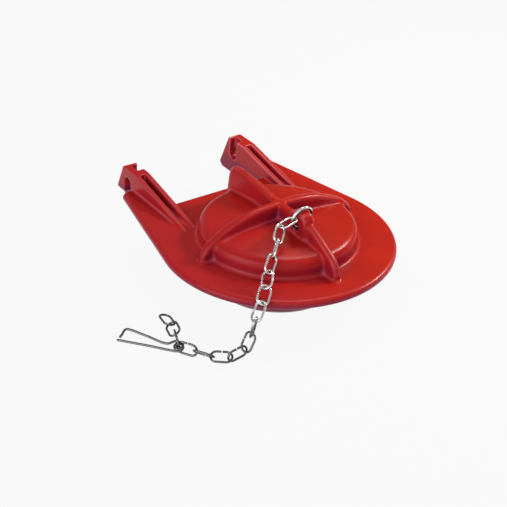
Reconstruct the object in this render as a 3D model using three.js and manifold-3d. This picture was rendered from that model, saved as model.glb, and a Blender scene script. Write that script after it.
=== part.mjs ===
// A toilet flapper: one red rubber moulding with two hinge arms, its lift chain and the clip on the chain.
// Millimetres, +Z up. The origin is the middle of the hinge, between the two slotted ears.
// The disc lies in front of the hinge, towards -Y, and the chain falls over its front left edge.
import * as THREE from "three";
import { mergeVertices } from "three/addons/utils/BufferGeometryUtils.js";
import Module from "manifold-3d";

const wasm = await Module();
wasm.setup();

// Driving dimensions of the moulding
const discRadius = 42.5;
const plateThickness = 3.2;
const plateEdgeRound = 1.5;
const hingeBehindDisc = 59.3;
const hingeAbovePlate = 0.8;
const plateBackEdge = 39.2;
const armInnerHalf = 21.1;
const armWidth = 5.9;
const flangeWidth = 5;
const flangeBehindPeg = -3.4;
const flangeTipRound = 2.3;

// Dome above the plate and bulb below it, one hollow chamber inside
const domeRadius = 28.4;
const domeHeight = 8.4;
const domeCrown = 1.7;
const domeShoulder = 3.2;
const domeFootFillet = 0.9;
const bulbRadius = 27.7;
const bulbTaper = 1.6;
const bulbDepth = 14.8;
const bulbCorner = 6;
const bulbMouthRadius = 11;
const shellWall = 2;

// Ribs that cross on the dome
const ribThickness = 3;
const sideRibThickness = 3.4;
const ribRound = 1.2;
const ribTop = 14.2;
const ribRoot = 2.6;
const sideRibReach = 33.2;
const frontRibReach = 34.6;
const finTop = 16.1;
const finCorner = 4.2;
const finReach = 31.6;
const finLean = 2.4;
const finSwell = 0.2;

// Eyelet on the front rib, for the chain's ring
const eyeletForward = 12.6;
const eyeletTop = 16.8;
const eyeletHeight = 10.7;
const eyeletHalfLength = 5.2;
const eyeletWidth = 4.8;
const eyeletRound = 1;
const eyeletShoulder = 2;
const eyeletHoleRadius = 1.35;

// Walls along the arms and the ears at their ends
const armWall = 1.9;
const armWallRound = 0.35;
const armWallStart = 19.2;
const armWallFlat = 6.8;
const earTop = 6.8;
const earBackTop = 3.4;
const earBackSlope = 0.44;
const earDropOuter = 3.7;
const earDropInner = 7.8;
const earCutOuter = 0.4;
const earCutInner = 1.7;
const earFront = 6.4;
const pegSlot = 4.8;

// Chain, ring and clip
const linkLength = 7.9;
const linkWidth = 4.7;
const linkWire = 0.72;
const linkPlay = 0.38;
const buttGap = 0.35;
const ringRadius = 4;
const ringWire = 1.05;
const ringSeat = 0.5;
const ringLean = 9;
const ringSlide = 0.15;
const ringHang = 0.5;
const clipWire = 0.85;
const clipLength = 21;
const clipSpread = 5.3;
const clipEyeRadius = 1.45;
const clipEyeGap = 0.12;
const clipNeck = 3.9;
const clipNeckSpread = 1.4;
const clipHook = 1;
const clipHookBack = 0.8;
const clipTipPast = 0.5;
const clipEyeLift = 1.34;
const clipHeading = 5.1;
const clipTilt = -15.7;
const clipAlong = -0.2;
const clipAcross = 1.22;

// How far each link is turned about its length from the one before it, and the first from lying flat
const chainTurns = [9, -70, 124, -128, 82, -51, 49, 62, -65, -74, 73, 66, -127];
const bendSlack = 0.97;
const floorLift = 2.4;

// The spare tail of the chain past the clip. Headings here and the clip's own are from the last link's.
const tailTurns = [75, -106, 46];
const tailHeading = -54.2;
const tailSwing = 6;
const tailBack = 0.21;
const tailLift = 1.09;
const tailDrop = 0.4;

// How finely round shapes are cut into facets
const aroundDisc = 72;
const aroundChamber = 40;
const alongRib = 3;
const aroundHole = 16;
const aroundWire = 7;
const linkSteps = 18;
const ringSteps = 24;
const clipSteps = 80;
const routeSamples = 1500;
const cornerSteps = 5;
const cutOver = 1;

const red = new THREE.MeshStandardMaterial({ color: 0xb5281f, roughness: 0.42, metalness: 0 });
const steel = new THREE.MeshStandardMaterial({ color: 0xc9c7c2, roughness: 0.22, metalness: 1 });

const floorHeight = -plateThickness - bulbDepth;
const armOuterHalf = armInnerHalf + armWidth;
const up = new THREE.Vector3(0, 0, 1);

// Joining and cutting

// A closed geometry as a solid, with shared corners merged and flat slivers dropped.
function solid(geometry) {
  const bare = new THREE.BufferGeometry();
  const source = geometry.index ? geometry.toNonIndexed() : geometry;
  bare.setAttribute("position", source.getAttribute("position"));
  const merged = mergeVertices(bare, 1e-4);
  const corners = [];
  for (let i = 0; i < merged.index.count; i += 3) {
    const [a, b, c] = [0, 1, 2].map((k) => merged.index.getX(i + k));
    if (a !== b && b !== c && c !== a) corners.push(a, b, c);
  }
  return new wasm.Manifold(
    new wasm.Mesh({
      numProp: 3,
      vertProperties: new Float32Array(merged.attributes.position.array),
      triVerts: new Uint32Array(corners),
    }),
  );
}

function geometryOf(body) {
  const mesh = body.getMesh();
  const geometry = new THREE.BufferGeometry();
  geometry.setAttribute("position", new THREE.BufferAttribute(mesh.vertProperties, 3));
  geometry.setIndex(new THREE.BufferAttribute(mesh.triVerts, 1));
  return geometry;
}

const join = (bodies) => bodies.reduce((sum, body) => sum.add(body));

// A profile of (radius, height) points turned round the Z axis, closed along the axis.
function turned(points, around) {
  return solid(new THREE.LatheGeometry(points, around).rotateX(Math.PI / 2));
}

// A side view drawn in (Y, Z), given a thickness across X and rounded edges.
function sidePlate(shape, thickness, round, middle) {
  const geometry = new THREE.ExtrudeGeometry(shape, {
    depth: thickness - 2 * round,
    bevelEnabled: round > 0,
    bevelSize: round,
    bevelOffset: -round,
    bevelThickness: round,
    bevelSegments: 2,
    curveSegments: alongRib,
  });
  geometry.translate(0, 0, round - thickness / 2);
  const toSide = new THREE.Matrix4().set(0, 0, 1, middle, 1, 0, 0, 0, 0, 1, 0, 0, 0, 0, 0, 1);
  return solid(geometry.applyMatrix4(toSide));
}

// Points of an arc, both ends kept.
function arcPoints(centreX, centreY, radius, from, to, steps) {
  return Array.from({ length: steps + 1 }, (_, i) => {
    const angle = from + ((to - from) * i) / steps;
    return new THREE.Vector2(centreX + radius * Math.cos(angle), centreY + radius * Math.sin(angle));
  });
}

// The crown of the dome, a shallow arc from the axis to the shoulder.
function crownPoints(reach, height, steps) {
  const radius = (reach * reach + domeCrown * domeCrown) / (2 * domeCrown);
  return Array.from({ length: steps + 1 }, (_, i) => {
    const r = (reach * i) / steps;
    return new THREE.Vector2(r, height - radius + Math.sqrt(radius * radius - r * r));
  });
}

// The moulding

// Outline of the plate: a disc with straight sides that run on to the two arm tips.
function plateOutline() {
  const tipX = armOuterHalf + flangeWidth;
  const tipY = hingeBehindDisc + flangeBehindPeg;
  const touch = Math.atan2(tipY, tipX) - Math.acos(discRadius / Math.hypot(tipX, tipY));
  const roundX = tipX - flangeTipRound;
  const roundY = tipY - flangeTipRound;
  return new THREE.Shape([
    ...arcPoints(0, 0, discRadius, touch, -Math.PI - touch, aroundDisc),
    ...arcPoints(-roundX, roundY, flangeTipRound, Math.PI, Math.PI / 2, cornerSteps),
    new THREE.Vector2(-armInnerHalf, tipY),
    new THREE.Vector2(-armInnerHalf, plateBackEdge),
    new THREE.Vector2(armInnerHalf, plateBackEdge),
    new THREE.Vector2(armInnerHalf, tipY),
    ...arcPoints(roundX, roundY, flangeTipRound, Math.PI / 2, 0, cornerSteps),
  ]);
}

function plate() {
  const geometry = new THREE.ExtrudeGeometry(plateOutline(), {
    depth: plateThickness - 2 * plateEdgeRound,
    bevelSize: plateEdgeRound,
    bevelOffset: -plateEdgeRound,
    bevelThickness: plateEdgeRound,
    bevelSegments: 3,
  });
  geometry.translate(0, 0, plateEdgeRound - plateThickness);
  return solid(geometry);
}

// Dome and bulb as one solid form, before the chamber is cut out.
function domeAndBulb() {
  const crownReach = domeRadius - domeShoulder;
  const shoulderHeight = domeHeight - domeCrown - domeShoulder;
  const bottomRadius = bulbRadius - bulbTaper;
  const bottomInner = bottomRadius - bulbCorner;
  const footAngle = Math.PI * 1.5;
  const profile = [
    new THREE.Vector2(0, floorHeight),
    ...arcPoints(bottomInner, floorHeight + bulbCorner, bulbCorner, -Math.PI / 2, 0, 7),
    new THREE.Vector2(bulbRadius, -plateThickness),
    new THREE.Vector2(domeRadius + domeFootFillet, -plateThickness / 2),
    ...arcPoints(domeRadius + domeFootFillet, domeFootFillet, domeFootFillet, footAngle, Math.PI, 3),
    ...arcPoints(crownReach, shoulderHeight, domeShoulder, 0, Math.PI / 2, 6),
    ...crownPoints(crownReach, domeHeight, 6).reverse().slice(1),
  ];
  return turned(profile, aroundDisc);
}

// The hollow inside, open at the bulb's mouth.
function chamber() {
  const crownReach = domeRadius - domeShoulder - shellWall / 2;
  const insideHeight = domeHeight - shellWall;
  const innerCorner = bulbCorner - shellWall;
  const innerBottom = floorHeight + shellWall;
  const cornerRadius = bulbRadius - bulbTaper - shellWall - innerCorner;
  const insideShoulder = domeShoulder - shellWall / 2;
  const profile = [
    new THREE.Vector2(0, floorHeight - cutOver),
    new THREE.Vector2(bulbMouthRadius, floorHeight - cutOver),
    new THREE.Vector2(bulbMouthRadius, innerBottom),
    ...arcPoints(cornerRadius, innerBottom + innerCorner, innerCorner, -Math.PI / 2, 0, cornerSteps),
    new THREE.Vector2(bulbRadius - shellWall, -plateThickness),
    new THREE.Vector2(bulbRadius - shellWall, insideHeight - domeCrown - insideShoulder),
    ...crownPoints(crownReach - insideShoulder, insideHeight, 4).reverse(),
  ];
  return turned(profile, aroundChamber);
}

// Left and right rib: one arch that steps out over the dome's edge to a foot on the plate.
function sideRib() {
  const half = [
    [0.25, 0.985],
    [0.48, 0.89],
    [0.72, 0.68],
    [0.89, 0.44],
    [0.97, 0.22],
  ].map(([along, high]) => new THREE.Vector2(sideRibReach * along, ribTop * high));
  const shape = new THREE.Shape();
  shape.moveTo(-sideRibReach, -ribRoot);
  shape.lineTo(-sideRibReach, 0);
  shape.splineThru([
    ...half.map((p) => new THREE.Vector2(-p.x, p.y)).reverse(),
    new THREE.Vector2(0, ribTop),
    ...half,
    new THREE.Vector2(sideRibReach, 0),
  ]);
  shape.lineTo(sideRibReach, -ribRoot);
  return sidePlate(shape, sideRibThickness, ribRound, 0).rotate([0, 0, -90]);
}

// Front rib, which carries the eyelet and slopes to a foot near the disc's front.
function frontRib() {
  const shoulder = eyeletForward + eyeletHalfLength;
  const shape = new THREE.Shape();
  shape.moveTo(ribThickness, -ribRoot);
  shape.lineTo(ribThickness, ribTop);
  shape.lineTo(-eyeletForward, ribTop);
  shape.splineThru([
    new THREE.Vector2(-shoulder, ribTop * 0.965),
    new THREE.Vector2(-0.8 * frontRibReach, ribTop * 0.64),
    new THREE.Vector2(-0.935 * frontRibReach, ribTop * 0.44),
    new THREE.Vector2(-0.985 * frontRibReach, ribTop * 0.2),
    new THREE.Vector2(-frontRibReach, 0),
  ]);
  shape.lineTo(-frontRibReach, -ribRoot);
  return sidePlate(shape, ribThickness, ribRound, 0);
}

// Back fin, tall as far as its rounded corner, then steeply down to the plate behind the dome.
function backFin() {
  const backTop = finReach - finLean;
  const belowCorner = finReach - (finLean * (finTop - finCorner)) / finTop;
  const shape = new THREE.Shape();
  shape.moveTo(-ribThickness, -ribRoot);
  shape.lineTo(-ribThickness, ribTop);
  shape.lineTo(ribThickness, ribTop);
  shape.quadraticCurveTo(backTop * 0.6, finTop + finSwell, backTop - finCorner, finTop);
  shape.quadraticCurveTo(backTop, finTop, belowCorner, finTop - finCorner);
  shape.lineTo(finReach, 0);
  shape.lineTo(finReach, -ribRoot);
  return sidePlate(shape, ribThickness, ribRound, 0);
}

// Eyelet: a thicker hump on the front rib, pierced for the ring.
function eyelet() {
  const foot = domeHeight - shellWall;
  const front = -eyeletForward - eyeletHalfLength;
  const back = -eyeletForward + eyeletHalfLength;
  const shape = new THREE.Shape();
  shape.moveTo(front, foot);
  shape.lineTo(front, ribTop - eyeletShoulder);
  shape.quadraticCurveTo(front, eyeletTop, -eyeletForward - eyeletRound, eyeletTop);
  shape.quadraticCurveTo(-eyeletForward + eyeletHalfLength * 0.7, eyeletTop, back, ribTop - eyeletRound);
  shape.lineTo(back, foot);
  return sidePlate(shape, eyeletWidth, eyeletRound, 0);
}

function eyeletHole() {
  const length = eyeletWidth + 2 * cutOver;
  const hole = new THREE.CylinderGeometry(eyeletHoleRadius, eyeletHoleRadius, length, aroundHole);
  return solid(hole.rotateZ(Math.PI / 2)).translate([0, -eyeletForward, eyeletHeight]);
}

// Arms

// A wall's top edge rises evenly from the plate, then runs level into the ear.
function armWallPlate(middle, end) {
  const shape = new THREE.Shape([
    new THREE.Vector2(armWallStart, -plateThickness),
    new THREE.Vector2(armWallStart, 0),
    new THREE.Vector2(hingeBehindDisc - armWallFlat, earTop),
    new THREE.Vector2(end, earTop),
    new THREE.Vector2(end, -plateThickness),
  ]);
  return sidePlate(shape, armWall, armWallRound, middle);
}

// Side view of half an ear. The half towards the overflow pipe hangs lower than the other.
function earShape(drop, cornerCut) {
  const backAt = (height) => hingeBehindDisc + earBackTop + earBackSlope * (earTop - height);
  const front = hingeBehindDisc - earFront;
  return new THREE.Shape([
    new THREE.Vector2(front, earTop),
    new THREE.Vector2(front, -ribRoot),
    new THREE.Vector2(front + earCutInner, -drop),
    new THREE.Vector2(backAt(cornerCut - drop) - cornerCut, -drop),
    new THREE.Vector2(backAt(cornerCut - drop), cornerCut - drop),
    new THREE.Vector2(backAt(earTop), earTop),
  ]);
}

// A slot with one round end at the peg, cut out through the top (1) or the bottom (-1) of half an ear.
function pegSlotCut(middle, width, way) {
  const radius = pegSlot / 2;
  const reach = way * (earTop + earDropInner + cutOver);
  const shape = new THREE.Shape();
  shape.moveTo(hingeBehindDisc - radius, hingeAbovePlate + reach);
  shape.lineTo(hingeBehindDisc - radius, hingeAbovePlate);
  shape.absarc(hingeBehindDisc, hingeAbovePlate, radius, Math.PI, 0, way < 0);
  shape.lineTo(hingeBehindDisc + radius, hingeAbovePlate + reach);
  return sidePlate(shape, width, 0, middle);
}

// The arm on one side (1 is right, -1 is left): two walls with a groove between, and the slotted ear.
function arm(side) {
  const halfEar = armWidth / 2;
  const wallEnd = hingeBehindDisc - earFront + cutOver;
  const outerWall = armWallPlate(side * (armOuterHalf - armWall / 2), wallEnd);
  const innerWall = armWallPlate(side * (armInnerHalf + armWall / 2), wallEnd);
  const outerMiddle = side * (armOuterHalf - halfEar / 2);
  const innerMiddle = side * (armInnerHalf + halfEar / 2);
  const outerEar = sidePlate(earShape(earDropOuter, earCutOuter), halfEar, 0, outerMiddle);
  const innerEar = sidePlate(earShape(earDropInner, earCutInner), halfEar, 0, innerMiddle);
  const outerSlot = pegSlotCut(outerMiddle + side * cutOver, halfEar + 2 * cutOver, -1);
  const innerSlot = pegSlotCut(innerMiddle - side * cutOver, halfEar + 2 * cutOver, 1);
  return join([outerEar.subtract(outerSlot), innerEar]).subtract(innerSlot).add(outerWall).add(innerWall);
}

function moulding() {
  const body = join([plate(), domeAndBulb(), sideRib(), frontRib(), backFin(), eyelet(), arm(1), arm(-1)]);
  return geometryOf(body.subtract(chamber()).subtract(eyeletHole()));
}

// Bent wire

// A closed round shape of wire with a small butt gap: two half circles joined by straight sides.
class WireLoop extends THREE.Curve {
  constructor(radius, straight, gap) {
    super();
    this.radius = radius;
    this.straight = straight;
    this.gap = gap;
  }

  getPoint(t, target = new THREE.Vector3()) {
    const { radius, straight, gap } = this;
    const bow = Math.PI * radius;
    const round = 2 * (bow + straight);
    let s = gap / 2 + t * (round - gap);
    const legs = [straight / 2, bow, straight, bow, straight / 2];
    let leg = 0;
    while (leg < 4 && s > legs[leg]) {
      s -= legs[leg];
      leg += 1;
    }
    const turn = s / radius;
    if (leg === 0) return target.set(s, -radius, 0);
    const outX = straight / 2 + radius * Math.sin(turn);
    if (leg === 1) return target.set(outX, -radius * Math.cos(turn), 0);
    if (leg === 2) return target.set(straight / 2 - s, radius, 0);
    if (leg === 3) return target.set(-outX, radius * Math.cos(turn), 0);
    return target.set(-straight / 2 + s, -radius, 0);
  }
}

// Round wire of a given diameter along a path, with flat cut ends.
function wireAlong(path, diameter, steps) {
  const section = new THREE.Shape();
  section.absarc(0, 0, diameter / 2, 0, 2 * Math.PI, false);
  const facets = new THREE.Shape(section.getSpacedPoints(aroundWire).slice(0, aroundWire));
  return new THREE.ExtrudeGeometry(facets, { steps, extrudePath: path, bevelEnabled: false });
}

const bowRadius = (linkWidth - linkWire) / 2;
const linkPitch = linkLength - 2 * linkWire - linkPlay;

function linkGeometry() {
  return wireAlong(new WireLoop(bowRadius, linkLength - linkWidth, buttGap), linkWire, linkSteps);
}

// Where the chain runs: from the ring over the dome's shoulder and the rim, then along the floor.
function chainRoute() {
  const onFloor = floorHeight + floorLift;
  const points = [
    firstJoint(),
    polar(domeRadius - 11.5, 236.1, domeHeight + 5.5),
    polar(domeRadius - 6.1, 232.1, domeHeight + 2.9),
    polar(domeRadius - 0.8, 230.3, domeHeight + 0.2),
    polar(domeRadius + 4.3, 227.9, 5.5),
    polar(discRadius - 4.2, 228.1, 3.1),
    polar(discRadius + 1.2, 227.1, 0.5),
    polar(discRadius + 5.9, 225.6, -3.2),
    polar(discRadius + 6.1, 224.4, -9.2),
    polar(discRadius + 7.3, 222.6, onFloor + 1.3),
    polar(discRadius + 11.5, 218.7, onFloor + 0.2),
    polar(discRadius + 13.1, 212.7, onFloor),
    polar(discRadius + 13.4, 206.4, onFloor),
    polar(discRadius + 15.7, 200.9, onFloor),
  ];
  return new THREE.CatmullRomCurve3(points, false, "centripetal");
}

// A point given by its distance and direction from the disc's axis, and its height over the plate.
function polar(radius, degrees, height) {
  const angle = THREE.MathUtils.degToRad(degrees);
  return new THREE.Vector3(radius * Math.cos(angle), radius * Math.sin(angle), height);
}

// The ring leans a little to the front, and the first link hangs on its left side.
const lean = THREE.MathUtils.degToRad(ringLean);
const ringRise = ringRadius - ringSeat;
const ringCentre = new THREE.Vector3(
  -ringSlide,
  -eyeletForward - ringRise * Math.sin(lean),
  eyeletHeight + ringRise * Math.cos(lean),
);
const firstJoint = () => ringCentre.clone().add(new THREE.Vector3(-ringRadius + ringWire / 2, 0, ringHang));

// Joints one pitch apart along the route, closer together where the chain bends sharply.
function walk(route, count) {
  const samples = route.getPoints(routeSamples);
  const joints = [samples[0]];
  let heading = samples[1].clone().sub(samples[0]).normalize();
  for (const sample of samples.slice(1)) {
    const step = sample.clone().sub(joints.at(-1));
    const bend = 1 - step.clone().normalize().dot(heading);
    if (joints.length <= count && step.length() >= linkPitch - bendSlack * bend) {
      joints.push(sample);
      heading = step.normalize();
    }
  }
  while (joints.length <= count) joints.push(joints.at(-1).clone().addScaledVector(heading, linkPitch));
  return joints;
}

// Links along a run of joints, each turned about its length from the one before.
function linkRun(prefix, digits, joints, turns) {
  let along = joints[1].clone().sub(joints[0]).normalize();
  const normal = up.clone().addScaledVector(along, -up.dot(along)).normalize();
  return turns.map((turn, i) => {
    const next = joints[i + 1].clone().sub(joints[i]).normalize();
    normal.applyQuaternion(new THREE.Quaternion().setFromUnitVectors(along, next));
    normal.applyAxisAngle(next, THREE.MathUtils.degToRad(turn));
    along = next;
    const mesh = new THREE.Mesh(linkGeometry(), steel);
    mesh.name = prefix + String(i + 1).padStart(digits, "0");
    const across = normal.clone().cross(along);
    mesh.quaternion.setFromRotationMatrix(new THREE.Matrix4().makeBasis(along, across, normal));
    mesh.position.copy(joints[i]).add(joints[i + 1]).multiplyScalar(0.5);
    return mesh;
  });
}

// Joints of the spare tail, from inside the clip's eye back towards the disc.
function tailJoints(start, endHeading) {
  const joints = [];
  let at = start.clone().addScaledVector(up, tailLift);
  tailTurns.forEach((_, i) => {
    const heading = endHeading + THREE.MathUtils.degToRad(tailHeading + tailSwing * i);
    const step = new THREE.Vector3(Math.cos(heading), Math.sin(heading), 0);
    if (i === 0) joints.push(at.addScaledVector(step, -tailBack));
    step.multiplyScalar(linkPitch);
    if (i > 0) step.z = -tailDrop;
    at = at.clone().add(step);
    joints.push(at);
  });
  return joints;
}

// Wire clip: a straight leg, a sprung eye of one and a half turns, and a leg that ends in a hook.
function clipPath() {
  const perTurn = 8;
  const eighths = 1.5 * perTurn;
  const climb = clipWire + clipEyeGap;
  const bendX = clipLength - clipHookBack;
  const points = [
    new THREE.Vector3(clipLength + clipTipPast, 0, 0),
    new THREE.Vector3(clipLength * 0.5, 0, 0),
  ];
  for (let i = 0; i < eighths; i += 1) {
    const angle = -Math.PI / 2 - (i * 2 * Math.PI) / perTurn;
    const x = clipEyeRadius * Math.cos(angle);
    const y = -clipEyeRadius * (1 + Math.sin(angle));
    points.push(new THREE.Vector3(x, y, (climb * i) / perTurn));
  }
  const top = climb * (eighths / perTurn);
  const hook = (x, y, z) => new THREE.Vector3(bendX + x * clipHook, -clipSpread + y * clipHook, z);
  points.push(
    new THREE.Vector3(clipEyeRadius * 1.1, -2 * clipEyeRadius + clipEyeGap, top * 0.95),
    new THREE.Vector3(clipNeck, -clipNeckSpread, top * 0.85),
    new THREE.Vector3((clipNeck + bendX) / 2, -(clipNeckSpread + clipSpread) / 2, top * 0.45),
    hook(-1, 0.2, top * 0.06),
    hook(-0.1, 0.3, 0),
    hook(0.35, 1, 0),
    new THREE.Vector3(clipLength - clipHook * 0.35, -clipSpread * 0.5, 0),
    new THREE.Vector3(clipLength, -clipWire - linkPlay, 0),
  );
  return new THREE.CatmullRomCurve3(points, false, "centripetal");
}

// Assembly

const flapper = new THREE.Group();
const discFrame = new THREE.Group();
discFrame.position.set(0, -hingeBehindDisc, -hingeAbovePlate);
flapper.add(discFrame);

const body = new THREE.Mesh(moulding(), red);
body.name = "flapper_body";
discFrame.add(body);

const ring = new THREE.Mesh(wireAlong(new WireLoop(ringRadius, 0, buttGap), ringWire, ringSteps), steel);
ring.name = "chain_ring";
ring.rotation.x = Math.PI / 2 + lean;
ring.position.copy(ringCentre);
discFrame.add(ring);

// The tail hooks into the last link, and the clip's eye goes round both.
const joints = walk(chainRoute(), chainTurns.length);
const [beforeLast, last] = joints.slice(-2);
const endHeading = Math.atan2(last.y - beforeLast.y, last.x - beforeLast.x);
discFrame.add(...linkRun("chain_link_", 2, joints, chainTurns));
discFrame.add(...linkRun("tail_link_", 1, tailJoints(last, endHeading), tailTurns));

const clip = new THREE.Mesh(wireAlong(clipPath(), clipWire, clipSteps), steel);
clip.name = "wire_clip";
clip.rotation.order = "ZYX";
clip.rotation.z = endHeading + THREE.MathUtils.degToRad(clipHeading);
clip.rotation.y = Math.asin((clipEyeLift - clipWire / 2) / clipLength);
clip.rotation.x = THREE.MathUtils.degToRad(clipTilt);
clip.position.set(clipAlong, clipAcross, 0).applyAxisAngle(up, endHeading);
clip.position.add(new THREE.Vector3(last.x, last.y, floorHeight + clipEyeLift));
discFrame.add(clip);

export default flapper;
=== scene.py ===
import math

import bpy
import numpy as np
from mathutils import Matrix, Vector


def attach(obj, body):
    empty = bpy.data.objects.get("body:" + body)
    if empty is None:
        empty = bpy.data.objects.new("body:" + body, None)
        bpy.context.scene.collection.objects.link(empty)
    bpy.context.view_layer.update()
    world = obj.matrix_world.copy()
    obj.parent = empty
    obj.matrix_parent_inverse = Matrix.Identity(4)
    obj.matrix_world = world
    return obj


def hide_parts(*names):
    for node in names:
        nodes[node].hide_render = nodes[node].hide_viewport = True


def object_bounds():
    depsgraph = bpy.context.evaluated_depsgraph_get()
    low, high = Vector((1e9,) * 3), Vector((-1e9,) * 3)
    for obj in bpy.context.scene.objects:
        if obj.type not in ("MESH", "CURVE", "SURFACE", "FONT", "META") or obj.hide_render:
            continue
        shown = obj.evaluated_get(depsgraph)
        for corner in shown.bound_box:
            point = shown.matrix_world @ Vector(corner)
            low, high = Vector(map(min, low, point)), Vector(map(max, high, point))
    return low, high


# A red rubber toilet flapper on a pale floor, with its chain and wire clip. Metres, Z up.
# The origin is the middle of the hinge between the two ears, as in the solid model.

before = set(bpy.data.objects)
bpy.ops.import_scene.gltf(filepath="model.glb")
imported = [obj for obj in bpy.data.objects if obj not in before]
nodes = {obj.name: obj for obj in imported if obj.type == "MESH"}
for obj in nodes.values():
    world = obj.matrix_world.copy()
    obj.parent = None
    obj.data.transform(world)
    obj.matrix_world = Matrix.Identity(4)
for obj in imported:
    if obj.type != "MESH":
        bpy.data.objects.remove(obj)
cad_low, cad_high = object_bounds()

MM = 0.001
HINGE_BEHIND_DISC = 59.3 * MM
HINGE_ABOVE_PLATE = 0.8 * MM
DISC_CENTRE = Vector((0, -HINGE_BEHIND_DISC, -HINGE_ABOVE_PLATE))

# Camera, fitted to the disc, the arms and the ears
CAMERA_AZIMUTH = -36.69
CAMERA_ELEVATION = 31.92
CAMERA_ROLL = 2.82
CAMERA_TARGET = Vector((-14.05, -5.12, -0.14)) * MM
CAMERA_DISTANCE = 407.3 * MM
CAMERA_LENS = 83.46
SENSOR = 36
CAMERA_NEAR = 10 * MM


def make_camera():
    a, e, r = (math.radians(v) for v in (CAMERA_AZIMUTH, CAMERA_ELEVATION, CAMERA_ROLL))
    back = Vector((math.sin(a) * math.cos(e), -math.cos(a) * math.cos(e), math.sin(e)))
    level = Vector((math.cos(a), math.sin(a), 0))
    upright = back.cross(level)
    right = math.cos(r) * level + math.sin(r) * upright
    up = -math.sin(r) * level + math.cos(r) * upright
    data = bpy.data.cameras.new("camera")
    data.lens = CAMERA_LENS
    data.sensor_width = SENSOR
    data.clip_start = CAMERA_NEAR
    camera = bpy.data.objects.new("camera", data)
    place = DISC_CENTRE + CAMERA_TARGET + back * CAMERA_DISTANCE
    turn = Matrix((right, up, back)).transposed().to_4x4()
    camera.matrix_world = Matrix.Translation(place) @ turn
    bpy.context.scene.collection.objects.link(camera)
    bpy.context.scene.camera = camera


make_camera()


# Materials


class Nodes:
    """Short calls for building a node material."""

    def __init__(self, name):
        self.material = bpy.data.materials.new(name)
        self.material.use_nodes = True
        self.tree = self.material.node_tree
        self.shader = self.tree.nodes["Principled BSDF"]

    def add(self, kind, **values):
        node = self.tree.nodes.new(kind)
        for key, value in values.items():
            if hasattr(node, key):
                setattr(node, key, value)
            else:
                node.inputs[key.replace("_", " ")].default_value = value
        return node

    def link(self, source, target):
        self.tree.links.new(source, target)

    def place(self):
        return self.add("ShaderNodeTexCoord").outputs["Object"]

    def axes(self, vector):
        node = self.add("ShaderNodeSeparateXYZ")
        self.link(vector, node.inputs["Vector"])
        return node.outputs

    def normal(self):
        return self.add("ShaderNodeNewGeometry").outputs["Normal"]

    def noise(self, scale, detail, roughness=0.5):
        node = self.add("ShaderNodeTexNoise", Scale=scale, Detail=detail, Roughness=roughness)
        self.link(self.place(), node.inputs["Vector"])
        return node.outputs["Fac"]

    def ramp(self, source, *stops):
        node = self.add("ShaderNodeValToRGB")
        for stop, (position, colour) in zip(node.color_ramp.elements, stops):
            stop.position, stop.color = position, (*colour, 1)
        for position, colour in stops[2:]:
            node.color_ramp.elements.new(position).color = (*colour, 1)
        self.link(source, node.inputs["Fac"])
        return node.outputs["Color"]

    def remap(self, source, low, high, first=0, last=1):
        """Gives low at the first value of the source and high at the last, even between them."""
        node = self.add("ShaderNodeMapRange")
        node.inputs["From Min"].default_value = first
        node.inputs["From Max"].default_value = last
        node.inputs["To Min"].default_value = low
        node.inputs["To Max"].default_value = high
        self.link(source, node.inputs["Value"])
        return node.outputs["Result"]

    def mix(self, source, colour, share, blend="MIX"):
        """A colour or another output mixed over a source, by a share from 0 to 1."""
        node = self.add("ShaderNodeMix", data_type="RGBA", blend_type=blend)
        self.link(source, node.inputs[6])
        if isinstance(colour, tuple):
            node.inputs[7].default_value = (*colour, 1)
        else:
            self.link(colour, node.inputs[7])
        if isinstance(share, (int, float)):
            node.inputs[0].default_value = share
        else:
            self.link(share, node.inputs[0])
        return node.outputs[2]

    def bump(self, height, strength, distance, below=None):
        node = self.add("ShaderNodeBump", Strength=strength, Distance=distance)
        self.link(height, node.inputs["Height"])
        if below is not None:
            self.link(below, node.inputs["Normal"])
        return node.outputs["Normal"]

    def set(self, **values):
        for key, value in values.items():
            self.shader.inputs[key.replace("_", " ")].default_value = value


# Painted light: convex edges get a paler painted highlight, inner corners a thin pale painted
# highlight line, and hollows a darker painted shade
RED_DARKER = (0.460, 0.0105, 0.0026)
RED_LIGHTER = (0.560, 0.0135, 0.0030)
EDGE_PAINTED_HIGHLIGHT = (0.80, 0.230, 0.290)
CORNER_PAINTED_HIGHLIGHT = (0.72, 0.150, 0.200)
HOLLOW_PAINTED_SHADE = (0.110, 0.006, 0.034)
# Painted cool reflection on side and downward faces
SIDE_PAINTED_REFLECTION = (0.500, 0.017, 0.030)
# Painted shade with a cool painted reflection, darker and bluer towards the left
LEFT_PAINTED_COOL_SHADE = (0.450, 0.0135, 0.0180)
# Painted shade with a cool painted reflection below the plate's top
LOW_PAINTED_SHADE = (0.290, 0.012, 0.058)
HOLLOW_REACH = 0.013
HOLLOW_SAMPLES = 12

# Fades, as the share at the first value and at the last, then those two values
SIDE_REFLECTION_BY_NORMAL = (0.85, 0, -0.30, 0.60)
EDGE_HIGHLIGHT_BY_BEND = (0, 0.75, 0.62, 0.92)
CORNER_HIGHLIGHT_BY_BEND = (0.70, 0, 0.12, 0.42)
HOLLOW_SHADE_BY_OPENNESS = (0.95, 0, 0.28, 0.80)
# Painted shade is strongest towards the front of the disc
HOLLOW_SHADE_BY_PLACE = (1, 0.30, -0.062, -0.050)
LEFT_SHADE_BY_PLACE = (0.80, 0, -0.030, 0.012)
LOW_SHADE_BY_HEIGHT = (0.80, 0, -0.0030, -0.0012)
UNDERSIDE_SHADE_BY_NORMAL = (1, 0, -0.25, 0.15)

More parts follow.
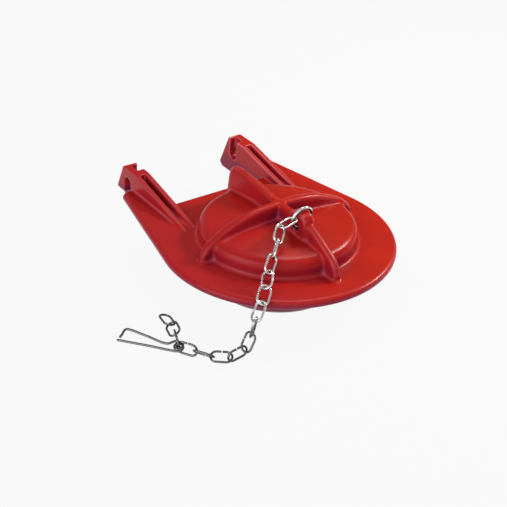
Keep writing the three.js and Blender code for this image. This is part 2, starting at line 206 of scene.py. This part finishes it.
# Noise, as scale, detail and roughness
RUBBER_CLOUDS = (55, 4, 0.55)
RUBBER_SHEEN = (420, 4, 0.6)
RUBBER_WAVES = (90, 2, 0.4)
RUBBER_GRAIN = (2600, 3, 0.6)
WIRE_STAIN = (500, 3, 0.5)
WIRE_SHEEN = (1500, 3, 0.6)
WIRE_GRAIN = (3200, 2, 0.5)

RUBBER_ROUGHNESS = (0.24, 0.36)
RUBBER_SPECULAR = 0.20
WAVE_BUMP = (0.12, 0.0012)
GRAIN_BUMP = (0.08, 0.00006)

# Painted shade: faces of the wire that point down are near black
UNDERSIDE_PAINTED_SHADE = (0.045, 0.042, 0.042)
# Painted shade on the wire: its colour darkens from just below the plate down towards the floor
WIRE_PAINTED_SHADE = (0.19, 0.19, 0.20)
WIRE_UNSHADED = (1.0, 0.985, 0.95)
WIRE_STAINED = (0.84, 0.83, 0.81)
WIRE_CLEAN = (1.0, 1.0, 1.0)
WIRE_SHADE_BELOW = -7.0 * MM
WIRE_UNSHADED_ABOVE = -1.5 * MM
WIRE_ROUGHNESS = (0.10, 0.22)
WIRE_BUMP = (0.12, 0.00006)
WIRE_METALLIC = 0.78


def rubber_material():
    n = Nodes("red_rubber")
    place = n.axes(n.place())
    bend = n.add("ShaderNodeAttribute", attribute_name="bend").outputs["Fac"]
    # Painted shade: hollows of the moulding turn dark maroon, found by ambient occlusion of the
    # moulding alone
    openness = n.add("ShaderNodeAmbientOcclusion", only_local=True, samples=HOLLOW_SAMPLES)
    openness.inputs["Distance"].default_value = HOLLOW_REACH
    hollow_shade = n.add("ShaderNodeMath", operation="MULTIPLY")
    n.link(n.remap(openness.outputs["AO"], *HOLLOW_SHADE_BY_OPENNESS), hollow_shade.inputs[0])
    n.link(n.remap(place["Y"], *HOLLOW_SHADE_BY_PLACE), hollow_shade.inputs[1])
    colour = n.ramp(n.noise(*RUBBER_CLOUDS), (0.30, RED_DARKER), (0.72, RED_LIGHTER))
    # Painted cool reflection: side and downward faces turn purplish
    colour = n.mix(colour, SIDE_PAINTED_REFLECTION, n.remap(n.axes(n.normal())["Z"], *SIDE_REFLECTION_BY_NORMAL))
    # Painted highlight: convex edges turn paler pink
    colour = n.mix(colour, EDGE_PAINTED_HIGHLIGHT, n.remap(bend, *EDGE_HIGHLIGHT_BY_BEND))
    # Painted shade and cool reflection: the left side is darker and bluer
    colour = n.mix(colour, LEFT_PAINTED_COOL_SHADE, n.remap(place["X"], *LEFT_SHADE_BY_PLACE))
    # Painted shade and cool reflection: the rim's side and the bulb turn dark purple
    colour = n.mix(colour, LOW_PAINTED_SHADE, n.remap(place["Z"], *LOW_SHADE_BY_HEIGHT))
    colour = n.mix(colour, HOLLOW_PAINTED_SHADE, hollow_shade.outputs[0])
    # Painted highlight: a thin pale pink line along inner corners
    colour = n.mix(colour, CORNER_PAINTED_HIGHLIGHT, n.remap(bend, *CORNER_HIGHLIGHT_BY_BEND))
    n.link(colour, n.shader.inputs["Base Color"])
    n.link(n.remap(n.noise(*RUBBER_SHEEN), *RUBBER_ROUGHNESS), n.shader.inputs["Roughness"])
    waves = n.bump(n.noise(*RUBBER_WAVES), *WAVE_BUMP)
    grain = n.bump(n.noise(*RUBBER_GRAIN), *GRAIN_BUMP, waves)
    n.link(grain, n.shader.inputs["Normal"])
    n.set(Specular_IOR_Level=RUBBER_SPECULAR)
    return n.material


def wire_material():
    """Steel wire with painted shade: bright on top of the rubber, darker near the floor and on
    faces that point down.
    """
    n = Nodes("steel_wire")
    height = n.axes(n.place())["Z"]
    # Painted shade: the wire is darker lower down
    rise = n.remap(height, 0, 1, WIRE_SHADE_BELOW, WIRE_UNSHADED_ABOVE)
    tone = n.ramp(rise, (0.0, WIRE_PAINTED_SHADE), (1.0, WIRE_UNSHADED))
    stain = n.ramp(n.noise(*WIRE_STAIN), (0.25, WIRE_STAINED), (0.60, WIRE_CLEAN))
    # Painted shade on faces of the wire that point down
    under_shade = n.remap(n.axes(n.normal())["Z"], *UNDERSIDE_SHADE_BY_NORMAL)
    colour = n.mix(n.mix(tone, stain, 1, "MULTIPLY"), UNDERSIDE_PAINTED_SHADE, under_shade)
    n.link(colour, n.shader.inputs["Base Color"])
    n.link(n.remap(n.noise(*WIRE_SHEEN), *WIRE_ROUGHNESS), n.shader.inputs["Roughness"])
    n.link(n.bump(n.noise(*WIRE_GRAIN), *WIRE_BUMP), n.shader.inputs["Normal"])
    n.set(Metallic=WIRE_METALLIC)
    return n.material


rubber = rubber_material()
steel = wire_material()


# Meshes


def mesh_object(name, vertices, faces, material):
    mesh = bpy.data.meshes.new(name)
    mesh.from_pydata([tuple(v) for v in vertices], [], faces)
    mesh.materials.append(material)
    mesh.polygons.foreach_set("use_smooth", [True] * len(mesh.polygons))
    mesh.update()
    piece = bpy.data.objects.new(name, mesh)
    bpy.context.scene.collection.objects.link(piece)
    return piece


def apply_modifiers(piece):
    graph = bpy.context.evaluated_depsgraph_get()
    mesh = bpy.data.meshes.new_from_object(piece.evaluated_get(graph))
    piece.modifiers.clear()
    piece.data = mesh
    return mesh


VOXEL = 0.28 * MM
SMOOTHING_PASSES = 70
SMOOTHING_PULL = 0.5
FILLET_PASSES = 20
FILLET_ROUND = 10
FILLET_PULL = 0.9
FILLET_EVENING = 0.3
BEND_PASSES = 7
BEND_PULL = 0.5
BEND_HEIGHT = 0.10 * MM
BODY_TRIANGLES = 192000
LATHE_STEP = math.radians(5)
RIM_FIRST = math.radians(11.5)
RIM_STEP = math.radians(203 / 72)

# How much is smoothed and filled, and where. Each pair is in millimetres, and a share fades
# in or out between its two values.
RIM_BEGINS = (34, 37)
DISC_ENDS = (43, 43.6)
ARMS_BEGIN = (22, 30)
ARMS_INSIDE = (18.5, 20.5)
RIBS_END = (2.0, 4.5)
SHOULDER_BEGINS = (20, 24)
SHOULDER_ENDS = (29, 30)
SHOULDER_RISES = (1.5, 4)
PLAIN_SMOOTHING = 0.14
SHOULDER_SMOOTHING = 0.86
ARM_SMOOTHING = 0.045
TOP_BEGINS = (-4.0, -2.0)
DISC_FILLETS_END = (37, 40)
EYELET_FORWARD = 12.6
EYELET_HEIGHT = 10.7
EYELET_HOLE = (1.8, 3.2)
CHAMBER_WALL = (26.6, 27.6)
CHAMBER_ROOF = (5.4, 7.0)
GROOVE_MIDDLE = 24.05
GROOVE_SIDE = (2.2, 3.4)
ARM_FILLETS_BEGIN = (20, 26)
ARM_FILLET = 0.35


def neighbours(mesh):
    edges = np.empty(len(mesh.edges) * 2, np.int32)
    mesh.edges.foreach_get("vertices", edges)
    edges = edges.reshape(-1, 2)
    one = np.concatenate([edges[:, 0], edges[:, 1]])
    other = np.concatenate([edges[:, 1], edges[:, 0]])
    share = np.maximum(np.bincount(one, minlength=len(mesh.vertices)), 1)
    return one, other, share[:, None]


def pull(points, one, other, share):
    """How far each point lies from the middle of its neighbours."""
    sums = [np.bincount(one, points[other, axis], minlength=len(points)) for axis in range(3)]
    return np.stack(sums, 1) / share - points


def point_normals(mesh, points):
    mesh.vertices.foreach_set("co", points.astype(np.float32).ravel())
    mesh.update()
    normals = np.empty(len(points) * 3, np.float32)
    mesh.vertices.foreach_get("normal", normals)
    return normals.reshape(-1, 3)


def smooth_step(value, low, high):
    t = np.clip((value - low) / (high - low), 0, 1)
    return t * t * (3 - 2 * t)


def true_circles(points):
    """Moves the flat facets of the disc, dome and bulb out to their circles."""
    x, y, _ = (points - np.array(DISC_CENTRE)).T
    angle, radius = np.arctan2(y, x), np.hypot(x, y) / MM
    moved = []
    for first, step in ((0, LATHE_STEP), (RIM_FIRST, RIM_STEP)):
        off_middle = np.mod(angle - first, step) - step / 2
        moved.append(np.cos(off_middle) / math.cos(step / 2) - 1)
    on_rim = smooth_step(radius, *RIM_BEGINS)
    on_disc = 1 - smooth_step(radius, *DISC_ENDS)
    scale = on_disc * (moved[0] * (1 - on_rim) + moved[1] * on_rim)
    points[:, 0] += x * scale
    points[:, 1] += y * scale


def smoothing_share(points):
    """How much each place is smoothed: the dome's shoulder most, the arms and ears least."""
    x, y, z = (points - np.array(DISC_CENTRE)).T / MM
    r = np.hypot(x, y)
    arms = smooth_step(y, *ARMS_BEGIN) * smooth_step(np.abs(x), *ARMS_INSIDE)
    rib = 1 - smooth_step(np.minimum(np.abs(x), np.abs(y)), *RIBS_END)
    shoulder = smooth_step(r, *SHOULDER_BEGINS) * (1 - smooth_step(r, *SHOULDER_ENDS))
    shoulder = shoulder * smooth_step(z, *SHOULDER_RISES) * (1 - rib)
    share = PLAIN_SMOOTHING + SHOULDER_SMOOTHING * shoulder
    return (share * (1 - arms) + ARM_SMOOTHING * arms)[:, None]


def bend_of(points, normals, links):
    """How far each place stands out: above one half on edges, and below it in corners."""
    wide = points.copy()
    for _ in range(BEND_PASSES):
        wide += BEND_PULL * pull(wide, *links)
    height = ((points - wide) * normals).sum(1)
    return np.clip(0.5 + 0.5 * height / BEND_HEIGHT, 0, 1)


def fillet_share(points):
    """Where inner corners are filled: round the ribs and the dome, and a little along the arms."""
    x, y, z = (points - np.array(DISC_CENTRE)).T / MM
    r = np.hypot(x, y)
    on_top = smooth_step(z, *TOP_BEGINS)
    disc = (1 - smooth_step(r, *DISC_FILLETS_END)) * on_top
    past_hole = smooth_step(np.hypot(y + EYELET_FORWARD, z - EYELET_HEIGHT), *EYELET_HOLE)
    outside = 1 - (1 - smooth_step(r, *CHAMBER_WALL)) * (1 - smooth_step(z, *CHAMBER_ROOF))
    past_groove = smooth_step(np.abs(np.abs(x) - GROOVE_MIDDLE), *GROOVE_SIDE)
    arms = ARM_FILLET * smooth_step(y, *ARM_FILLETS_BEGIN) * past_groove * on_top
    return np.maximum(disc * past_hole * outside, arms)[:, None]


def rubber_body():
    source = nodes["flapper_body"]
    piece = bpy.data.objects.new("rubber_moulding", source.data.copy())
    bpy.context.scene.collection.objects.link(piece)
    remesh = piece.modifiers.new("even", "REMESH")
    remesh.mode = "VOXEL"
    remesh.voxel_size = VOXEL
    mesh = apply_modifiers(piece)
    points = np.empty(len(mesh.vertices) * 3, np.float32)
    mesh.vertices.foreach_get("co", points)
    points = points.reshape(-1, 3).astype(float)
    links = neighbours(mesh)
    true_circles(points)
    share = SMOOTHING_PULL * smoothing_share(points)
    for _ in range(SMOOTHING_PASSES):
        points += share * pull(points, *links)
    share = fillet_share(points)
    for step in range(FILLET_PASSES):
        if step % FILLET_ROUND == 0:
            normals = point_normals(mesh, points)
        move = pull(points, *links)
        outward = np.maximum((move * normals).sum(1), 0)[:, None]
        points += FILLET_PULL * share * outward * normals
        if step % FILLET_ROUND == FILLET_ROUND - 1:
            points += FILLET_EVENING * share * pull(points, *links)
    bend = bend_of(points, point_normals(mesh, points), links)
    mesh.attributes.new("bend", "FLOAT", "POINT").data.foreach_set("value", bend.astype(np.float32))
    thin = piece.modifiers.new("thin", "DECIMATE")
    mesh.calc_loop_triangles()
    thin.ratio = min(1, BODY_TRIANGLES / len(mesh.loop_triangles))
    mesh = apply_modifiers(piece)
    mesh.materials.clear()
    mesh.materials.append(rubber)
    mesh.polygons.foreach_set("material_index", [0] * len(mesh.polygons))
    mesh.polygons.foreach_set("use_smooth", [True] * len(mesh.polygons))
    mesh.update()
    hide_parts("flapper_body")
    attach(piece, "root")


# Bent wire

LINK_LENGTH = 7.9 * MM
LINK_WIDTH = 4.7 * MM
LINK_WIRE = 0.72 * MM
LINK_SWELL = 0.03 * MM
LINK_PLAY = 0.38 * MM
LINK_PITCH = LINK_LENGTH - 2 * LINK_WIRE - LINK_PLAY
LINK_STEPS = 72
BUTT_GAP = 0.35 * MM
RING_RADIUS = 4 * MM
RING_WIRE = 1.05 * MM
RING_SEAT = 0.5 * MM
RING_LEAN = math.radians(9)
RING_SLIDE = 0.15 * MM
RING_STEPS = 90
FLOOR_HEIGHT = -18.0 * MM
WIRE_SIDES = 16
END_ROUND = 0.25


def sweep(name, path, radius, nodes_replaced):
    """A round wire along a list of points, with softened ends."""
    path = [Vector(p) for p in path]
    tangents = []
    for i in range(len(path)):
        before, after = path[max(i - 1, 0)], path[min(i + 1, len(path) - 1)]
        tangents.append((after - before).normalized())
    side = tangents[0].orthogonal().normalized()
    stations = []
    for point, tangent in zip(path, tangents):
        side = (side - tangent * side.dot(tangent)).normalized()
        stations.append((point, tangent, side.copy(), 1.0))
    bevel = radius * END_ROUND
    first, last = stations[0], stations[-1]
    stations[0] = (first[0] + first[1] * bevel, *first[1:])
    stations[-1] = (last[0] - last[1] * bevel, *last[1:])
    stations.insert(0, (first[0], first[1], first[2], 1 - END_ROUND))
    stations.append((last[0], last[1], last[2], 1 - END_ROUND))
    vertices, faces = [], []
    for point, tangent, side, share in stations:
        other = tangent.cross(side)
        for k in range(WIRE_SIDES):
            angle = 2 * math.pi * k / WIRE_SIDES
            outward = math.cos(angle) * side + math.sin(angle) * other
            vertices.append(point + radius * share * outward)
    for i in range(len(stations) - 1):
        for k in range(WIRE_SIDES):
            a, b = i * WIRE_SIDES + k, i * WIRE_SIDES + (k + 1) % WIRE_SIDES
            faces.append((a, b, b + WIRE_SIDES, a + WIRE_SIDES))
    top = (len(stations) - 1) * WIRE_SIDES
    faces.append(tuple(range(WIRE_SIDES))[::-1])
    faces.append(tuple(range(top, top + WIRE_SIDES)))
    piece = mesh_object(name, vertices, faces, steel)
    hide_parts(nodes_replaced)
    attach(piece, "root")


def loop_points(radius, straight, gap, count):
    """Points round two half circles and two straight sides, open in the lower side's middle."""
    bow = math.pi * radius
    legs = [straight / 2, bow, straight, bow, straight / 2]
    points = []
    for i in range(count + 1):
        s = gap / 2 + (sum(legs) - gap) * i / count
        leg = 0
        while leg < len(legs) - 1 and s > legs[leg]:
            s -= legs[leg]
            leg += 1
        turn = s / radius
        points.append((
            (s, -radius),
            (straight / 2 + radius * math.sin(turn), -radius * math.cos(turn)),
            (straight / 2 - s, radius),
            (-straight / 2 - radius * math.sin(turn), radius * math.cos(turn)),
            (-straight / 2 + s, -radius),
        )[leg])
    return points


def own_axes(node):
    """A flat loop's middle and its long, cross and normal axes, read from its node.

    The gap is on the minus cross side.
    """
    mesh = nodes[node].data
    points = np.array([v.co for v in mesh.vertices])
    _, vectors = np.linalg.eigh(np.cov((points - points.mean(0)).T))
    normal, cross, along = vectors.T
    local = points @ np.stack([along, cross, normal], 1)
    middle = (local.max(0) + local.min(0)) / 2
    local = local - middle
    bridged = {1: 0, -1: 0}
    for edge in mesh.edges:
        a, b = (local[v] for v in edge.vertices)
        if a[0] * b[0] < 0:
            bridged[1 if a[1] + b[1] > 0 else -1] += 1
    if bridged[-1] > bridged[1]:
        cross = -cross
        middle[1] = -middle[1]
    centre = middle[0] * along + middle[1] * cross + middle[2] * normal
    return Vector(centre), Vector(along), Vector(cross), Vector(normal)


def chain_link(node):
    centre, along, cross, _ = own_axes(node)
    bow = (LINK_WIDTH - LINK_WIRE) / 2
    flat = loop_points(bow, LINK_LENGTH - LINK_WIDTH, BUTT_GAP, LINK_STEPS)
    path = [centre + along * u + cross * v for u, v in flat]
    sweep(node.replace("link", "wire_link"), path, LINK_WIRE / 2 + LINK_SWELL, node)


def split_ring():
    aside = Vector((1, 0, 0))
    upright = Vector((0, -math.sin(RING_LEAN), math.cos(RING_LEAN)))
    eyelet = DISC_CENTRE + Vector((-RING_SLIDE, -EYELET_FORWARD * MM, EYELET_HEIGHT * MM))
    centre = eyelet + upright * (RING_RADIUS - RING_SEAT)
    flat = loop_points(RING_RADIUS, 0, BUTT_GAP, RING_STEPS)
    path = [centre + aside * u + upright * v for u, v in flat]
    sweep("ring_wire", path, RING_WIRE / 2, "chain_ring")


# The clip, in millimetres
CLIP_WIRE = 0.85
CLIP_LENGTH = 21
CLIP_SPREAD = 5.3
CLIP_EYE_RADIUS = 1.45
CLIP_EYE_GAP = 0.12
CLIP_NECK = 3.9
CLIP_NECK_SPREAD = 1.4
CLIP_HOOK = 1
CLIP_HOOK_BACK = 0.8
CLIP_TIP_PAST = 0.5
CLIP_EYE_LIFT = 1.34
CLIP_HEADING = math.radians(5.1)
CLIP_TILT = math.radians(-15.7)
CLIP_ALONG = -0.2
CLIP_ACROSS = 1.22
CLIP_PLAY = 0.38
CLIP_EYE_EIGHTHS = 12
CLIP_STEPS = 12


def centripetal(points, count):
    """A smooth curve through points, its knots spaced by the square root of each distance."""
    points = [Vector(p) for p in points]
    ends = [2 * points[0] - points[1]] + points + [2 * points[-1] - points[-2]]
    curve = []
    spans = len(points) - 1
    for i in range(spans):
        p0, p1, p2, p3 = ends[i:i + 4]
        d = [math.sqrt(max((b - a).length, 1e-6)) for a, b in ((p0, p1), (p1, p2), (p2, p3))]
        t1 = ((p1 - p0) / d[0] - (p2 - p0) / (d[0] + d[1]) + (p2 - p1) / d[1]) * d[1]
        t2 = ((p2 - p1) / d[1] - (p3 - p1) / (d[1] + d[2]) + (p3 - p2) / d[2]) * d[1]
        for k in range(count + (i == spans - 1)):
            t = k / count
            h1, h2 = t * t * (3 - 2 * t), t * (1 - t) ** 2
            curve.append(p1 * (1 - h1) + p2 * h1 + t1 * h2 + t2 * (t * t * (t - 1)))
    return curve


def clip_path():
    """A straight leg, a sprung eye of one and a half turns, and a leg that ends in a hook."""
    climb = CLIP_WIRE + CLIP_EYE_GAP
    bend, top, eye = CLIP_LENGTH - CLIP_HOOK_BACK, climb * 1.5, CLIP_EYE_RADIUS
    points = [(CLIP_LENGTH + CLIP_TIP_PAST, 0, 0), (CLIP_LENGTH * 0.5, 0, 0)]
    for i in range(CLIP_EYE_EIGHTHS):
        angle = -math.pi / 2 - i * math.pi / 4
        points.append((eye * math.cos(angle), -eye * (1 + math.sin(angle)), climb * i / 8))
    hook = [(-1, 0.2, top * 0.06), (-0.1, 0.3, 0), (0.35, 1, 0)]
    points += [
        (eye * 1.1, -2 * eye + CLIP_EYE_GAP, top * 0.95),
        (CLIP_NECK, -CLIP_NECK_SPREAD, top * 0.85),
        ((CLIP_NECK + bend) / 2, -(CLIP_NECK_SPREAD + CLIP_SPREAD) / 2, top * 0.45),
        *[(bend + x * CLIP_HOOK, -CLIP_SPREAD + y * CLIP_HOOK, z) for x, y, z in hook],
        (CLIP_LENGTH - CLIP_HOOK * 0.35, -CLIP_SPREAD * 0.5, 0),
        (CLIP_LENGTH, -CLIP_WIRE - CLIP_PLAY, 0),
    ]
    return centripetal(points, CLIP_STEPS)


def wire_clip():
    """The clip lies as the last link heads, with its eye over that link's end."""
    centre, along, _, _ = own_axes("chain_link_13")
    if along.dot(centre - own_axes("chain_link_12")[0]) < 0:
        along = -along
    end = centre + along * LINK_PITCH / 2
    heading = math.atan2(along.y, along.x)
    place = Vector((end.x, end.y, DISC_CENTRE.z + FLOOR_HEIGHT + CLIP_EYE_LIFT * MM))
    place += Matrix.Rotation(heading, 3, "Z") @ Vector((CLIP_ALONG, CLIP_ACROSS, 0)) * MM
    turn = Matrix.Rotation(heading + CLIP_HEADING, 3, "Z")
    turn @= Matrix.Rotation(math.asin((CLIP_EYE_LIFT - CLIP_WIRE / 2) / CLIP_LENGTH), 3, "Y")
    turn @= Matrix.Rotation(CLIP_TILT, 3, "X")
    path = [place + turn @ point * MM for point in clip_path()]
    sweep("clip_wire", path, CLIP_WIRE / 2 * MM, "wire_clip")


rubber_body()
split_ring()
for node in sorted(nodes):
    if node.startswith(("chain_link_", "tail_link_")):
        chain_link(node)
wire_clip()


# Floor, light and sky

FLOOR_HALF = 3.0
FLOOR_DROP = 0.02 * MM
FLOOR_CLOUDS = (1.5, 2)
FLOOR_DARKER = (0.40, 0.40, 0.42)
FLOOR_LIGHTER = (0.42, 0.42, 0.44)
FLOOR_ROUGHNESS = 0.9
FLOOR_OWN_SHARE = 0.93
FLOOR_TONE = 0.99
SKY_BY_HEIGHT = ((0.60, (0.10, 0.10, 0.10)), (0.94, (0.38, 0.38, 0.38)))
SKY_BY_SIDE = ((0.25, (0.88, 0.92, 1.0)), (0.75, (1.0, 0.94, 0.84)))


def stage_floor():
    """The pale floor shows its own colour to the eye and in the wire, and a little light."""
    low, high, z = -FLOOR_HALF, FLOOR_HALF, cad_low.z - FLOOR_DROP
    corners = [(low, low, z), (high, low, z), (high, high, z), (low, high, z)]
    n = Nodes("pale_floor")
    tone = n.ramp(n.noise(*FLOOR_CLOUDS), (0.3, FLOOR_DARKER), (0.7, FLOOR_LIGHTER))
    n.link(tone, n.shader.inputs["Base Color"])
    n.set(Roughness=FLOOR_ROUGHNESS, Specular_IOR_Level=0.0)
    seen = n.add("ShaderNodeLightPath")
    share = None
    for ray in ("Is Camera Ray", "Is Glossy Ray", "Is Transmission Ray"):
        part = n.add("ShaderNodeMath", operation="MULTIPLY")
        part.inputs[1].default_value = FLOOR_OWN_SHARE
        n.link(seen.outputs[ray], part.inputs[0])
        if share is None:
            share = part.outputs[0]
            continue
        total = n.add("ShaderNodeMath", operation="ADD")
        n.link(share, total.inputs[0])
        n.link(part.outputs[0], total.inputs[1])
        share = total.outputs[0]
    own = n.add("ShaderNodeEmission")
    own.inputs["Color"].default_value = (FLOOR_TONE, FLOOR_TONE, FLOOR_TONE, 1)
    blend = n.add("ShaderNodeMixShader")
    n.link(share, blend.inputs[0])
    n.link(n.shader.outputs[0], blend.inputs[1])
    n.link(own.outputs[0], blend.inputs[2])
    n.link(blend.outputs[0], n.tree.nodes["Material Output"].inputs["Surface"])
    floor = mesh_object("floor", corners, [(0, 1, 2, 3)], n.material)


def area_light(name, place, target, size, power, colour, size_y=None):
    data = bpy.data.lights.new(name, "AREA")
    data.energy = power
    data.color = colour
    data.size = size
    if size_y:
        data.shape = "RECTANGLE"
        data.size_y = size_y
    light = bpy.data.objects.new(name, data)
    place = DISC_CENTRE + Vector(place)
    aim = (DISC_CENTRE + Vector(target) - place).to_track_quat("-Z", "Y")
    light.matrix_world = Matrix.Translation(place) @ aim.to_matrix().to_4x4()
    bpy.context.scene.collection.objects.link(light)


stage_floor()
area_light("key_back_right", (0.34, 0.30, 0.80), (0, 0, 0), 0.22, 1.5, (1.0, 0.97, 0.92))
area_light("near_right", (0.26, -0.04, 0.20), (0.02, 0, 0), 0.07, 0.72, (1.0, 0.95, 0.90))
area_light("fill_left", (-0.85, -0.08, 0.28), (0, 0, 0), 0.70, 4.4, (0.97, 0.94, 1.0))
area_light("fill_front", (-0.40, -0.66, 0.38), (0, 0, 0), 0.80, 1.6, (0.94, 0.94, 1.0))
area_light("behind_left", (-0.05, 0.70, 0.17), (0, 0, 0), 0.40, 0.18, (0.78, 0.84, 1.0), 0.20)


def studio_world():
    """A soft sky, dim near the horizon and bright overhead, cooler to the left."""
    world = bpy.data.worlds.new("studio")
    world.use_nodes = True
    tree = world.node_tree
    direction = tree.nodes.new("ShaderNodeTexCoord").outputs["Generated"]
    spread = tree.nodes.new("ShaderNodeSeparateXYZ")
    tree.links.new(direction, spread.inputs["Vector"])
    colours = []
    for axis, stops in (("Z", SKY_BY_HEIGHT), ("X", SKY_BY_SIDE)):
        ramp = tree.nodes.new("ShaderNodeValToRGB")
        for stop, (position, colour) in zip(ramp.color_ramp.elements, stops):
            stop.position, stop.color = position, (*colour, 1)
        shift = tree.nodes.new("ShaderNodeMapRange")
        shift.inputs["From Min"].default_value = -1
        tree.links.new(spread.outputs[axis], shift.inputs["Value"])
        tree.links.new(shift.outputs["Result"], ramp.inputs["Fac"])
        colours.append(ramp.outputs["Color"])
    tint = tree.nodes.new("ShaderNodeMix")
    tint.data_type, tint.blend_type = "RGBA", "MULTIPLY"
    tint.inputs[0].default_value = 1
    tree.links.new(colours[0], tint.inputs[6])
    tree.links.new(colours[1], tint.inputs[7])
    tree.links.new(tint.outputs[2], tree.nodes["Background"].inputs["Color"])
    bpy.context.scene.world = world


studio_world()
bpy.context.scene.view_settings.view_transform = "Standard"
